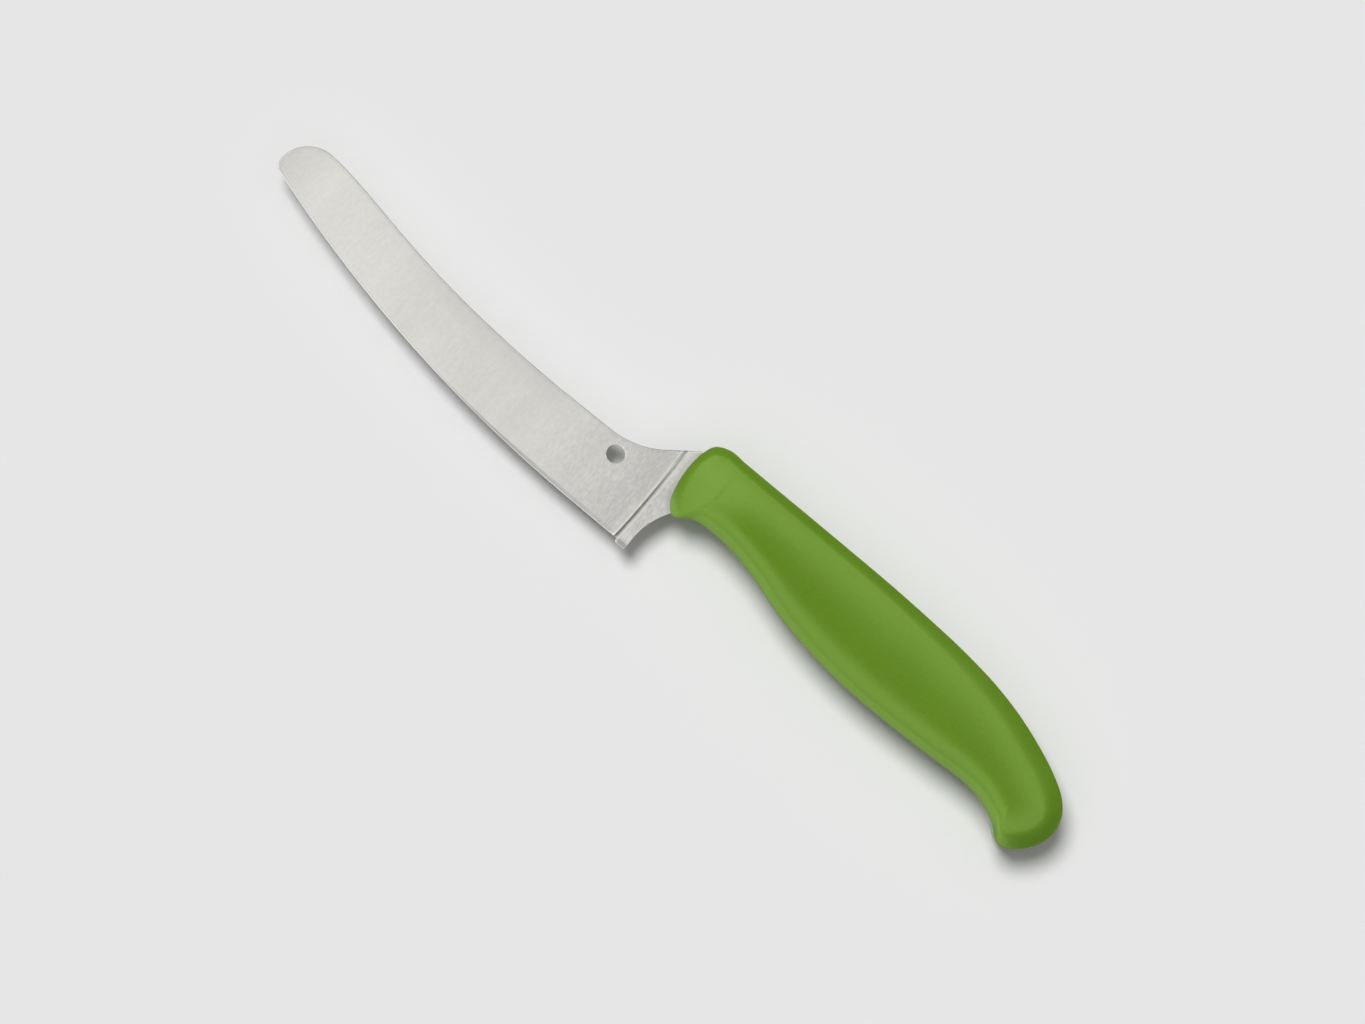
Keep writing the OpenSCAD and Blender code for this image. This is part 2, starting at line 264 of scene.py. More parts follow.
def at_x(x):
    """A place along the knife, in millimetres of the drawing frame, as metres in the frame of the part."""
    return float(PLACE[0] + x) * MM


def at_y(y):
    """A height above the cutting edge, in millimetres, as metres in the frame of the part."""
    return float(PLACE[1] + y) * MM


def polar(degrees):
    return np.array([math.cos(math.radians(degrees)), math.sin(math.radians(degrees))])


def tan(degrees):
    return math.tan(math.radians(degrees))


def ramp(value, start, end):
    """Smooth step from 0 at start to 1 at end."""
    t = np.clip((value - start) / (end - start), 0, 1)
    return t * t * (3 - 2 * t)


def cubic(a, b, c, d, count):
    """Points of a cubic curve from a to d with the control points b and c, without the last one."""
    t = (np.arange(count) / count)[:, None]
    s = 1 - t
    a, b, c, d = (np.asarray(p, float) for p in (a, b, c, d))
    return s**3 * a + 3 * s * s * t * b + 3 * s * t * t * c + t**3 * d


def rounded_corner(start, corner, end, count):
    """Points of a curve from start to end that bends towards a corner, without the last one."""
    return cubic(start, start + (corner - start) * 2 / 3, end + (corner - end) * 2 / 3, end, count)


def arc(centre, radius, start, end, step=ARC_STEP):
    """Points of an arc from angle start to angle end, in degrees, both ends included."""
    turn = abs(end - start)
    length = turn / 360 * 2 * math.pi * abs(radius)
    count = max(2, math.ceil(length / step), math.ceil(turn / ARC_TURN))
    angles = np.radians(np.linspace(start, end, count + 1))
    return np.asarray(centre) + radius * np.stack([np.cos(angles), np.sin(angles)], 1)


def circle(centre, radius, count):
    return np.asarray(centre) + radius * np.array([polar(360 * i / count) for i in range(count)])


def straight(a, b, step):
    """Points of a straight line from a towards b, without the last one."""
    a, b = np.asarray(a, float), np.asarray(b, float)
    count = max(1, math.ceil(np.linalg.norm(b - a) / step))
    return a + (b - a) * (np.arange(count) / count)[:, None]


def heading(p, q):
    """Direction from one point to another, in degrees."""
    return math.degrees(math.atan2(q[1] - p[1], q[0] - p[0]))


def depth_y(share):
    """Height of a place that lies a share of the handle's depth below its back."""
    return HANDLE_BACK - HANDLE_DEPTH * share


def distance_to(points, line, closed=False):
    """Distance of each point to a line of straight pieces."""
    a = line if closed else line[:-1]
    b = np.roll(line, -1, 0) if closed else line[1:]
    best = np.full(len(points), np.inf)
    for start, end in zip(a, b):
        way = end - start
        length = way @ way
        if length < NO_LENGTH_SQUARED:
            continue
        t = np.clip(((points - start) @ way) / length, 0, 1)
        best = np.minimum(best, np.linalg.norm(points - start - t[:, None] * way, axis=1))
    return best


def is_inside(points, ring):
    """Which points lie inside a closed ring."""
    x, y = points[:, 0], points[:, 1]
    found = np.zeros(len(points), bool)
    for (ax, ay), (bx, by) in zip(ring, np.roll(ring, -1, 0)):
        if ay == by:
            continue
        crosses = (ay > y) != (by > y)
        found ^= crosses & (x < (bx - ax) * (y - ay) / (by - ay) + ax)
    return found


def inset(ring, distance):
    """A counterclockwise ring moved inwards by a distance, with mitred corners."""
    before = ring - np.roll(ring, 1, 0)
    after = np.roll(ring, -1, 0) - ring
    before /= np.linalg.norm(before, axis=1)[:, None]
    after /= np.linalg.norm(after, axis=1)[:, None]
    n0 = np.stack([-before[:, 1], before[:, 0]], 1)
    n1 = np.stack([-after[:, 1], after[:, 0]], 1)
    mitre = n0 + n1
    mitre /= np.maximum(MITRE_LIMIT, np.sum(mitre * n1, 1))[:, None]
    return ring + distance * mitre


# Rim of the handle, whose side 0 is the back and side 1 the belly

def row_point(side, i):
    """Point of the rim at a row; past an end the rows go on along the other side."""
    if i < 0:
        return row_point(1 - side, -i)
    if i > LAST_ROW:
        return row_point(1 - side, 2 * LAST_ROW - i)
    row = HANDLE_SHARES[i]
    return np.array([row[2 * side] * HANDLE_LENGTH, depth_y(row[2 * side + 1])])


def row_heading(side, i):
    """Direction of the rim at a row, weighted towards the nearer neighbour."""
    before = row_point(side, i) - row_point(side, i - 1)
    after = row_point(side, i + 1) - row_point(side, i)
    b, a = np.linalg.norm(before), np.linalg.norm(after)
    return (before / b * a + after / a * b) / (a + b)


def between_rows(side, i, t):
    """Point of the rim at a share t of the way from a row to the next."""
    p, q = row_point(side, i), row_point(side, i + 1)
    d = np.linalg.norm(q - p)
    return (p * (1 + 2 * t) * (1 - t) ** 2 + q * (3 - 2 * t) * t * t
            + row_heading(side, i) * d * t * (1 - t) ** 2 - row_heading(side, i + 1) * d * (1 - t) * t * t)


def side_point(side, j):
    """Point of the rim j steps from the nose."""
    i = min(j // ROW_STEPS, LAST_ROW - 1)
    return between_rows(side, i, j / ROW_STEPS - i)


HALF_COUNT = LAST_ROW * ROW_STEPS
RING_COUNT = 2 * HALF_COUNT
SIDES = np.array([[side_point(side, j) for j in range(HALF_COUNT + 1)] for side in (0, 1)])
HANDLE_RIM = np.concatenate([SIDES[0], SIDES[1][-2:0:-1]])

# Places that the blade's outline is worked out from
EDGE_START = -PLUNGE_X - EDGE_FLAT
EDGE_RUN = BLADE_LENGTH + EDGE_START
EDGE_R = (EDGE_RUN**2 + EDGE_RISE**2) / (2 * EDGE_RISE)
EDGE_CENTRE = np.array([EDGE_START, EDGE_R])
TIP_ANGLE = math.asin((EDGE_RUN - TIP_START_SHARE * TIP_R) / EDGE_R)
GRIND_TAN = (STOCK_T - EDGE_T) / 2 / (GRIND_HEIGHT - BEVEL_W)
PLUNGE_START = -PLUNGE_X - PLUNGE_R
HEEL_FRONT = np.array([HEEL_START_SHARE * HEEL_R - PLUNGE_X, 0.0])
NOTCH_END = np.array([TANG_X_SHARES[1] * HANDLE_LENGTH, depth_y(NOTCH_DEPTH_SHARE)])
NECK_TOP = np.array([0.0, NECK_HEIGHT])


def edge_point(angle):
    """Point of the curved cutting edge, by the angle from where it begins."""
    return EDGE_CENTRE - EDGE_R * np.array([math.sin(angle), math.cos(angle)])


def tang_points():
    """The tang's upper points at the nose, the middle and the end, and its lower ones from the foot on."""
    nose, _, foot, middle = (share * HANDLE_LENGTH for share in TANG_X_SHARES)
    top = [(x, depth_y(share)) for x, share in zip((nose, middle, TANG_LENGTH), TANG_TOP_SHARES)]
    under = [(x, depth_y(share)) for x, share in zip((foot, middle, TANG_LENGTH), TANG_UNDER_SHARES)]
    return np.array(top), np.array(under)


def heel_line(step):
    """Lines from the end of the cutting edge, round the heel and along the finger notch."""
    radius = min(HEEL_R, HEEL_ROUND_LIMIT * HEEL_DROP)
    centre = HEEL_FRONT + [radius, radius - HEEL_DROP]
    corner = np.array([HEEL_REACH, -HEEL_DROP])
    corner_start = corner - [HEEL_CORNER, 0]
    way = NOTCH_END - corner
    half = np.linalg.norm(way) / 2
    across = np.array([way[1], -way[0]]) / (2 * half)
    notch_centre = (corner + NOTCH_END) / 2 + across * math.sqrt(NOTCH_R**2 - half**2)
    notch = arc(notch_centre, -NOTCH_R, heading(corner, notch_centre), heading(NOTCH_END, notch_centre), step)
    return [
        straight(HEEL_FRONT, centre - [radius, 0], step)[1:],
        arc(centre, radius, 180, 270, HEEL_STEP)[:-1],
        straight(centre - [0, radius], corner_start, step),
        rounded_corner(corner_start, corner, notch[1], HEEL_CORNER_STEPS),
        notch[1:-1],
    ]


def tang_line(step):
    """Lines from the end of the notch, round the tang to the top of the neck."""
    top, under = tang_points()
    radius = min(TANG_END_R, TANG_ROUND_LIMIT * (top[2][1] - under[2][1]))
    under_centre = under[2] + [-radius, radius]
    top_centre = top[2] - [radius, radius]
    end_step = TANG_END_SHARE * step
    side_step = TANG_SIDE_SHARE * step
    return [
        straight(NOTCH_END, under[0], end_step),
        straight(under[0], under[1], side_step),
        straight(under[1], under_centre - [0, radius], side_step),
        arc(under_centre, radius, -90, 0)[:-1],
        straight(under_centre + [radius, 0], top_centre + [radius, 0], end_step),
        arc(top_centre, radius, 0, 90)[:-1],
        straight(top_centre + [0, radius], top[1], side_step),
        straight(top[1], top[0], side_step),
        straight(top[0], NECK_TOP, step),
    ]


def spine_line(step):
    """Lines from the top of the neck, along the spine and round the tip to the cutting edge."""
    neck_foot_x = -(NECK_HEIGHT - NECK_FOOT_HEIGHT) / tan(NECK_SLOPE)
    neck_centre = np.array([neck_foot_x - NECK_R * tan(NECK_SLOPE / 2), NECK_FOOT_HEIGHT + NECK_R])
    neck_foot = neck_centre + NECK_R * polar(NECK_SLOPE - 90)
    waist = np.array(WAIST)
    tip_centre = np.array([TIP_R - BLADE_LENGTH, TIP_HEIGHT])
    spine_end = tip_centre + TIP_R * polar(90 - SPINE_SLOPE)
    run = waist[0] - spine_end[0]
    waist_pull = waist - [SPINE_PULLS[0] * run, 0]
    tip_pull = spine_end + SPINE_PULLS[1] * run * np.array([1, -tan(SPINE_SLOPE)])
    tip_front = np.array([-BLADE_LENGTH, TIP_HEIGHT])
    tip_corner = np.array([-BLADE_LENGTH, EDGE_RISE])
    return [
        straight(NECK_TOP, neck_foot, step),
        arc(neck_centre, NECK_R, NECK_SLOPE - 90, -90, step)[:-1],
        straight(neck_centre - [0, NECK_R], waist, step),
        cubic(waist, waist_pull, tip_pull, spine_end, math.ceil(run / step)),
        arc(tip_centre, TIP_R, 90 - SPINE_SLOPE, 180, TIP_STEP_SHARE * step)[:-1],
        rounded_corner(tip_front, tip_corner, edge_point(TIP_ANGLE), TIP_CORNER_STEPS),
    ]


def blade_outline(step):
    """The blade's outline, counterclockwise from the heel, as (rim of the steel, cutting edge)."""
    rim = heel_line(step) + tang_line(step) + spine_line(step)
    edge_steps = math.ceil(EDGE_RUN / step)
    edge = [
        [edge_point(TIP_ANGLE * (1 - i / edge_steps)) for i in range(edge_steps)],
        straight(edge_point(0), HEEL_FRONT, step),
        [HEEL_FRONT],
    ]
    return np.concatenate(rim), np.concatenate(edge)


def plunge_end(y):
    """Where the step at the end of the grind meets the full thickness."""
    return -PLUNGE_X - PLUNGE_BOW[1] * (y - PLUNGE_BOW[0]) ** 2


def above_edge(points):
    """Distance of each point above the cutting edge."""
    curved = EDGE_R - np.linalg.norm(points - EDGE_CENTRE, axis=1)
    return np.where(points[:, 0] < EDGE_START, curved, points[:, 1])


def ground_height(points):
    """Height of the face with its flat grind, its bevel and the step up to the full thickness."""
    x, y = points[:, 0], points[:, 1]
    depth = above_edge(points)
    ground = EDGE_T / 2 + (depth - BEVEL_W) * GRIND_TAN
    width = BEVEL_WIDTHS[0] + (BEVEL_WIDTHS[1] - BEVEL_WIDTHS[0]) * ramp(x, *BEVEL_CHANGE)
    bevel = np.minimum(0, (depth / width - 1) * BEVEL_DROP)
    bevel *= 1 - ramp(x, PLUNGE_START - BEVEL_END[0], PLUNGE_START + BEVEL_END[1])
    ground = np.minimum(STOCK_T / 2, ground + bevel)
    # The step is round, and steepest where it meets the full thickness
    climb = np.clip((x - plunge_end(y)) / PLUNGE_W + 1, 0, 1) ** PLUNGE_POWER
    return ground + (STOCK_T / 2 - ground) * climb


def round_rim(points, face, rim):
    """Height of the face once its rim is rounded, where it shows."""
    hidden = is_inside(points, HANDLE_RIM) * ramp(distance_to(points, HANDLE_RIM, True), 0, HIDDEN_RUN)
    width = RIM_WIDTHS[0] + (RIM_WIDTHS[1] - RIM_WIDTHS[0]) * ramp(points[:, 1], *RIM_HEIGHTS)
    width = np.maximum(width * (1 - hidden), NO_WIDTH)
    drop = np.minimum(width, RIM_DROP_LIMIT * face)
    left = 1 - np.minimum(distance_to(points, rim) / width, 1)
    return face - drop + drop * np.sqrt(1 - left * left)


def break_hole(points, face):
    """Height of the face once the sharp rim of the hole is broken."""
    away = np.clip(np.linalg.norm(points - np.array(HOLE), axis=1) - HOLE_R, 0, HOLE_BREAK)
    left = HOLE_BREAK - away
    return face - HOLE_BREAK + np.sqrt(np.maximum(0, HOLE_BREAK * HOLE_BREAK - left**2))


def blade_height(points, rim):
    """Height of the blade's face over its mid-plane."""
    return break_hole(points, round_rim(points, ground_height(points), rim))


def lock_places():
    """Centres of the lock holes, halfway between the tang's top and its underside."""
    top, under = tang_points()
    places = []
    for share in np.linspace(*LOCK_SPAN_SHARES, LOCK_COUNT):
        x = TANG_LENGTH * share
        upper = np.interp(x, top[:, 0], top[:, 1])
        lower = np.interp(x, under[:, 0], under[:, 1])
        places.append((x, (upper + lower) / 2))
    return places


def add_piece(name, points, faces):
    """A mesh object, from points in the drawing frame."""
    mesh = bpy.data.meshes.new(name)
    corners = [[int(i) for i in face] for face in faces]
    mesh.from_pydata([tuple(p) for p in in_part_frame(points)], [], corners)
    mesh.validate()
    mesh.update()
    piece = bpy.data.objects.new(name, mesh)
    bpy.context.scene.collection.objects.link(piece)
    return piece


def shade_smooth(piece, sharp_angle):
    """Smooth shading, apart from edges sharper than an angle in degrees."""
    piece.data.polygons.foreach_set("use_smooth", [True] * len(piece.data.polygons))
    piece.data.set_sharp_from_angle(angle=math.radians(sharp_angle))


def flat_triangles(loops, loose):
    """Points and triangles that fill an outline around its holes, with loose points in between."""
    points, edges = [], []
    for loop in loops:
        first = len(points)
        points += [tuple(p) for p in loop]
        edges += [(first + i, first + (i + 1) % len(loop)) for i in range(len(loop))]
    points += [tuple(p) for p in loose]
    flat, _, triangles, *_ = delaunay_2d_cdt([Vector(p) for p in points], edges, [], 0, MERGE_DISTANCE)
    flat = np.array([tuple(p) for p in flat])
    triangles = np.array(list(triangles))
    centres = flat[triangles].mean(1)
    kept = is_inside(centres, np.asarray(loops[0]))
    for hole in loops[1:]:
        kept &= ~is_inside(centres, np.asarray(hole))
    triangles = triangles[kept]
    used = np.unique(triangles)
    new = np.full(len(flat), -1)
    new[used] = np.arange(len(used))
    return flat[used], new[triangles]


def plate(name, loops, loose, height):
    """A closed plate, alike on both sides: its outline and holes are loops, loose are points on its faces."""
    flat, triangles = flat_triangles(loops, loose)
    z = height(flat)
    count = len(flat)
    points = np.concatenate([np.column_stack([flat, z]), np.column_stack([flat, -z])])
    faces = [tuple(t) for t in triangles] + [(c + count, b + count, a + count) for a, b, c in triangles]
    # Walls stand on the edges that only one triangle uses
    sides = dict.fromkeys(side for a, b, c in triangles for side in ((a, b), (b, c), (c, a)))
    for a, b in sides:
        if (b, a) not in sides:
            faces.append((b, a, a + count, b + count))
    return add_piece(name, points, faces)


def rounding_depths(width, angles):
    """Distances from the rim of the rings on a quarter round."""
    return [width * (1 - math.cos(math.radians(angle))) for angle in angles]


def outline_rings(outline):
    """Rings of points along the outline, for the rounding of the rim and for the bevel."""
    depths = [depth for width in RIM_WIDTHS for depth in rounding_depths(width, RIM_ANGLES)]
    depths += [width + gap for width in BEVEL_WIDTHS for gap in BEVEL_GAPS]
    depths += BEHIND_BEVEL
    rings = []
    for depth in depths:
        ring = inset(outline, depth)
        is_clear = distance_to(ring, outline, True) > depth * RING_SHARE - RING_SLACK
        rings.append(ring[is_inside(ring, outline) & is_clear])
    return rings


def step_columns():
    """Columns of points along the step at the end of the grind, closest where it is steepest."""
    rows = np.arange(COLUMN_FOOT, NECK_HEIGHT, COLUMN_STEP)
    return [np.array([(plunge_end(y) + PLUNGE_W * (share - 1), y) for y in rows]) for share in COLUMN_SHARES]


def even_net():
    """An even net of points, apart from the surroundings of the step."""
    rows = enumerate(np.arange(NET_FOOT, HANDLE_BACK, NET_Y))
    columns = np.arange(-BLADE_LENGTH, TANG_LENGTH, NET_X)
    net = np.array([(x + (row % 2) * NET_X / 2, y) for row, y in rows for x in columns])
    return net[(net[:, 0] < PLUNGE_START - NET_GAPS[0]) | (net[:, 0] > NET_GAPS[1] - PLUNGE_X)]


def add_blade_data(blade, rim_line):
    """What the steel's material reads: the distance to the rim, and a flat UV map for the grinding lines."""
    flat = np.array([v.co[:2] for v in blade.data.vertices]) / MM - PLACE[:2]
    rim_depth = blade.data.attributes.new("rim_depth", "FLOAT", "POINT")
    rim_depth.data.foreach_set("value", distance_to(flat, rim_line))
    plane = blade.data.uv_layers.new(name="along_blade")
    corners = np.array([blade.data.vertices[loop.vertex_index].co[:2] for loop in blade.data.loops])
    plane.data.foreach_set("uv", (corners / UV_SPAN + 0.5).ravel())


def make_blade():
    """The steel sheet with its grind, bevel, rounded rim and holes."""
    rim, edge = blade_outline(BLADE_STEP)
    outline = np.concatenate([rim, edge])
    rim_line = np.concatenate([edge[-1:], rim, edge[:1]])
    holes = [(HOLE, HOLE_R, HOLE_SIDES)] + [(place, LOCK_R, LOCK_SIDES) for place in lock_places()]
    net = even_net()
    loose = np.concatenate(outline_rings(outline) + step_columns() + [net])
    is_net = np.arange(len(loose)) >= len(loose) - len(net)
    margin = np.where(is_net, NET_MARGIN, RING_MARGIN)
    free = is_inside(loose, outline) & (distance_to(loose, outline, True) > margin)
    for centre, radius, _ in holes:
        free &= np.linalg.norm(loose - np.array(centre), axis=1) > radius + HOLE_MARGIN
    rings = [circle(HOLE, HOLE_R + depth, HOLE_SIDES) for depth in rounding_depths(HOLE_BREAK, HOLE_ANGLES)]
    rings.append(circle(HOLE, HOLE_R + HOLE_RING, LOCK_SIDES))
    loose = np.concatenate([loose[free]] + rings)
    loops = [outline] + [circle(*hole)[::-1] for hole in holes]
    blade = plate("blade_steel_sheet", loops, loose, lambda points: blade_height(points, rim_line))
    shade_smooth(blade, BLADE_SHARP)
    add_blade_data(blade, rim_line)
    return blade


def crest_heights(x):
    """Half the handle's thickness at its crest, evened out along the handle."""
    known = HANDLE_SHARES[:CREST_LAST + 2]
    places = [(row[0] * (1 - CREST_SHARE) + row[2] * CREST_SHARE) * HANDLE_LENGTH for row in known]
    offsets = np.linspace(-CREST_REACH, CREST_REACH, CREST_SAMPLES)
    weights = np.exp(-(offsets / CREST_BLUR) ** 2 / 2)
    around = np.interp(x[:, None] + offsets, places, [row[-1] for row in known])
    return HANDLE_T / 2 * np.minimum(1, around @ weights / weights.sum())


# Crest of the handle's side faces, and for each point of the rim its steps from the nose, its nearest point
# of the crest, and the way to that point
CREST_START = CREST_FIRST * ROW_STEPS
CREST_END = CREST_LAST * ROW_STEPS
CREST = (SIDES[0] + (SIDES[1] - SIDES[0]) * CREST_SHARE)[CREST_START:CREST_END + 1]
CREST_TOP = crest_heights(CREST[:, 0])
FROM_NOSE = np.minimum(np.arange(RING_COUNT), RING_COUNT - np.arange(RING_COUNT))
NEAREST = np.clip(FROM_NOSE, CREST_START, CREST_END) - CREST_START
REACH = np.linalg.norm(CREST[NEAREST] - HANDLE_RIM, axis=1)


def around_rim(back, belly, nose, butt):
    """A value along the rim that goes over from the sides' to the ends' at the nose and the butt."""
    is_belly = np.arange(RING_COUNT) > HALF_COUNT
    # The butt's value reaches around the hook on the belly side
    butt_end = HALF_COUNT - np.where(is_belly, BUTT_HOOK * ROW_STEPS, 0)
    along = ramp(np.minimum(FROM_NOSE, butt_end - FROM_NOSE), 0, END_ROWS * ROW_STEPS)
    at_end = np.where(FROM_NOSE < HALF_COUNT / 2, nose, butt)
    return at_end + (np.where(is_belly, belly, back) - at_end) * along


def half_thickness(x):
    """Half the handle's thickness, without its crown, for a ring's points at these places along it."""
    ahead = crest_heights(np.minimum(x, CREST[0, 0]))
    return np.where(FROM_NOSE < CREST_START, ahead, CREST_TOP[NEAREST])


def handle_rings(crown):
    """Rings from the parting line to the crest, as (share of the way inwards, share of the height)."""
    along = HANDLE_RIM[:, 0] / HANDLE_LENGTH
    back_roll = np.interp(along, ROLL_X_SHARES, (NOSE_ROLL, BACK_ROLL, BUTT_ROLL))
    roll = around_rim(back_roll, BELLY_ROLL, NOSE_ROLL, BUTT_ROLL)
    roll = np.minimum(roll, ROLL_LIMIT_SHARE * REACH) / REACH
    draft = DRAFT / REACH
    top = half_thickness(HANDLE_RIM[:, 0]) * (1 - crown)
    dip = ROLL_DROP * around_rim(*DROP_SHARES) / top
    rings = [(PARTING_DEPTH / REACH, 0), (0 * draft, PARTING_HALF / top)]
    rings += [(draft * share, (1 - dip) * share) for share in WALL_SHARES]
    for share in np.linspace(0, 1, ROLL_STEPS + 1):
        rings.append((2 * draft + roll * share, 1 - dip * (1 - share) ** 2))
    roll_end = roll + 2 * draft
    for step in range(1, SIDE_STEPS):
        rings.append((roll_end + (1 - roll_end) * step / SIDE_STEPS, 1))
    return rings


def handle_faces(ring_total):
    """Faces between the rings of both halves, which share the parting line and close on their crests."""
    def index(half, ring, s):
        s %= RING_COUNT
        if ring == 0:
            return s
        if ring < ring_total:
            return RING_COUNT * (half * ring_total + ring) + s
        return RING_COUNT * 2 * ring_total + half * len(CREST) + NEAREST[s]

    faces = []
    for half in (0, 1):
        for ring in range(ring_total):
            for s in range(RING_COUNT):
                face = [index(half, ring, s), index(half, ring, s + 1)]
                face += [index(half, ring + 1, s + 1), index(half, ring + 1, s)]
                if face[2] == face[3]:
                    face.pop()
                faces.append(face if half else face[::-1])
    return faces


def make_handle():
    """The moulded grip, closed, before the room of the tang is taken out."""
    crown = around_rim(*CROWN_SHARES)
    rings = handle_rings(crown)
    points = []
    for up in (1, -1):
        for share, lift in rings:
            flat = HANDLE_RIM + (CREST[NEAREST] - HANDLE_RIM) * share[:, None]
            z = up * half_thickness(flat[:, 0]) * (1 - crown * (1 - share) ** 2) * lift
            points.append(np.column_stack([flat, z]))
    for up in (1, -1):
        points.append(np.column_stack([CREST, up * CREST_TOP]))
    return add_piece("handle_grip", np.concatenate(points), handle_faces(len(rings)))


def cut_tang_slot(handle):
    """Take the room of the tang out of the handle."""
    rim, edge = blade_outline(SLOT_STEP)
    outline = np.concatenate([rim, edge])
    holes = [circle(place, LOCK_R, LOCK_SIDES)[::-1] for place in lock_places()]
    cutter = plate("tang_room", [outline] + holes, [], lambda points: np.full(len(points), STOCK_T / 2))
    cut = handle.modifiers.new("slot", "BOOLEAN")
    cut.operation = "DIFFERENCE"
    cut.solver = "EXACT"
    cut.object = cutter
    graph = bpy.context.evaluated_depsgraph_get()
    shaped = bpy.data.meshes.new_from_object(handle.evaluated_get(graph))
    handle.modifiers.clear()
    handle.data = shaped
    bpy.data.objects.remove(cutter)


# Sockets of a colour Mix node: factor, first colour, second colour, and the result
MIX_INPUTS = (0, 6, 7)
MIX_RESULT = 2
NOISE_ROUGHNESS = 0.55


def nodes_of(material):
    """An empty node tree with its main shader."""
    material.use_nodes = True
    tree = material.node_tree
    tree.nodes.clear()
    out = tree.nodes.new("ShaderNodeOutputMaterial")
    shader = tree.nodes.new("ShaderNodeBsdfPrincipled")
    tree.links.new(shader.outputs["BSDF"], out.inputs["Surface"])
    return tree, shader


def add_node(tree, kind, links=(), **settings):
    """A node with its settings; links are pairs of an input and the output that feeds it."""
    node = tree.nodes.new(kind)
    for name, value in settings.items():
        setattr(node, name, value)
    for name, source in links:
        tree.links.new(source, node.inputs[name])
    return node


def stretched_noise(tree, place, stretch, scale, detail, offset):
    """Noise over the object's own coordinates, drawn out by the three shares of stretch."""
    mapped = add_node(tree, "ShaderNodeMapping", [("Vector", place)])
    mapped.inputs["Scale"].default_value = stretch
    mapped.inputs["Location"].default_value = offset
    noise = add_node(tree, "ShaderNodeTexNoise", [("Vector", mapped.outputs["Vector"])])
    noise.inputs["Scale"].default_value = scale
    noise.inputs["Detail"].default_value = detail
    noise.inputs["Roughness"].default_value = NOISE_ROUGHNESS
    return noise.outputs["Fac"]


def ranged(tree, value, low, high, to_low, to_high, smooth_steps=False):
    """A value from low to high as one from to_low to to_high."""
    kind = "SMOOTHSTEP" if smooth_steps else "LINEAR"
    node = add_node(tree, "ShaderNodeMapRange", [("Value", value)], interpolation_type=kind)
    names = ("From Min", "From Max", "To Min", "To Max")
    for name, number in zip(names, (low, high, to_low, to_high)):
        node.inputs[name].default_value = number
    return node.outputs["Result"]


def ranged_mm(tree, length, span, to_low, to_high, smooth_steps=True):
    """A length in metres that is ranged between two lengths in millimetres."""
    return ranged(tree, length, span[0] * MM, span[1] * MM, to_low, to_high, smooth_steps)


def combined(tree, operation, a, b):
    """A maths node on two values, each an output or a number."""
    node = add_node(tree, "ShaderNodeMath", operation=operation)
    for slot, value in zip(node.inputs, (a, b)):
        if isinstance(value, (int, float)):
            slot.default_value = value
        else:
            tree.links.new(value, slot)
    return node.outputs["Value"]


def plus(tree, a, b):
    return combined(tree, "ADD", a, b)


def minus(tree, a, b):
    return combined(tree, "SUBTRACT", a, b)


def times(tree, a, b):
    return combined(tree, "MULTIPLY", a, b)


def weighted(tree, a, b, share):
    """Two values mixed, with this share of the first."""
    return plus(tree, times(tree, a, share), times(tree, b, 1 - share))


def distance_from(tree, value, middle):
    """How far a value is from a middle, either way."""
    return combined(tree, "ABSOLUTE", minus(tree, value, middle), 0)


def blended(tree, factor, a, b):
    """Two colours, each an output or a colour, mixed by a factor."""
    node = add_node(tree, "ShaderNodeMix", data_type="RGBA")
    for index, value in zip(MIX_INPUTS, (factor, a, b)):
        if isinstance(value, tuple):
            node.inputs[index].default_value = (*value, 1)
        else:
            tree.links.new(value, node.inputs[index])
    return node.outputs[MIX_RESULT]


def tone_ramp(tree, value, stops):
    """Greys by a value from 0 to 1, from rising stops of (position, tone)."""
    node = add_node(tree, "ShaderNodeValToRGB", [("Fac", value)])
    elements = node.color_ramp.elements
    for index, (position, tone) in enumerate(stops):
        element = elements[index] if index < 2 else elements.new(position)
        element.position = position
        element.color = (tone, tone, tone, 1)
    return node.outputs["Color"]


def add_bump(tree, shader, height, strength, distance):
    bump = add_node(tree, "ShaderNodeBump", [("Height", height)])
    bump.inputs["Strength"].default_value = strength
    bump.inputs["Distance"].default_value = distance
    tree.links.new(bump.outputs["Normal"], shader.inputs["Normal"])


# Tones of the steel, between which its grain and its painted light and shade run
STEEL_LOW = (0.669, 0.660, 0.630)
STEEL_HIGH = (0.950, 0.940, 0.900)
# Colours of the painted shade on the bevel, and on the very edge, the rim and the step's corner
BEVEL_SHADE_COLOUR = (0.52, 0.51, 0.49)
STEEL_SHADE_COLOUR = (0.20, 0.19, 0.18)
STEEL_ANISOTROPY = 0.5
# Noises of the steel, as (stretch, scale, detail, offset): fine and broad grinding lines, speckle and cloud
FINE_LINES = ((1, 0.02, 1), 9000, 2, (0, 0, 0))
BROAD_LINES = ((1, 0.03, 1), 1500, 3, (0.3, 0.1, 0))
STEEL_SPECKLE = ((1, 0.45, 1), 1900, 2, (0.2, 0.6, 0))
STEEL_CLOUD = ((1, 0.5, 1), 70, 3, (0.7, 0.2, 0))
# Shares of the fine lines among the lines, of the lines beside the cloud, and of both beside the speckle
FINE_SHARE = 0.4
LINES_SHARE = 0.6
CLOUDED_SHARE = 0.5
# Clouded lines from one tone to the other, the roughness that goes with them, and the bump of the lines
TONE_SPAN = (0.3, 0.7)
STEEL_ROUGHNESS = (0.34, 0.40)
STEEL_BUMP = (0.35, 0.00001)
# Painted light and shade of the steel along the blade, as (x, share of high), from the tip to the handle
LIGHT_ALONG_BLADE = (
    (-113.0, 0.25),
    (-100.0, 0.68),
    (-60.0, 0.68),
    (-30.0, 0.58),
    (-15.0, 0.42),
    (-5.0, 0.10),
    (1.0, 0.45),
)
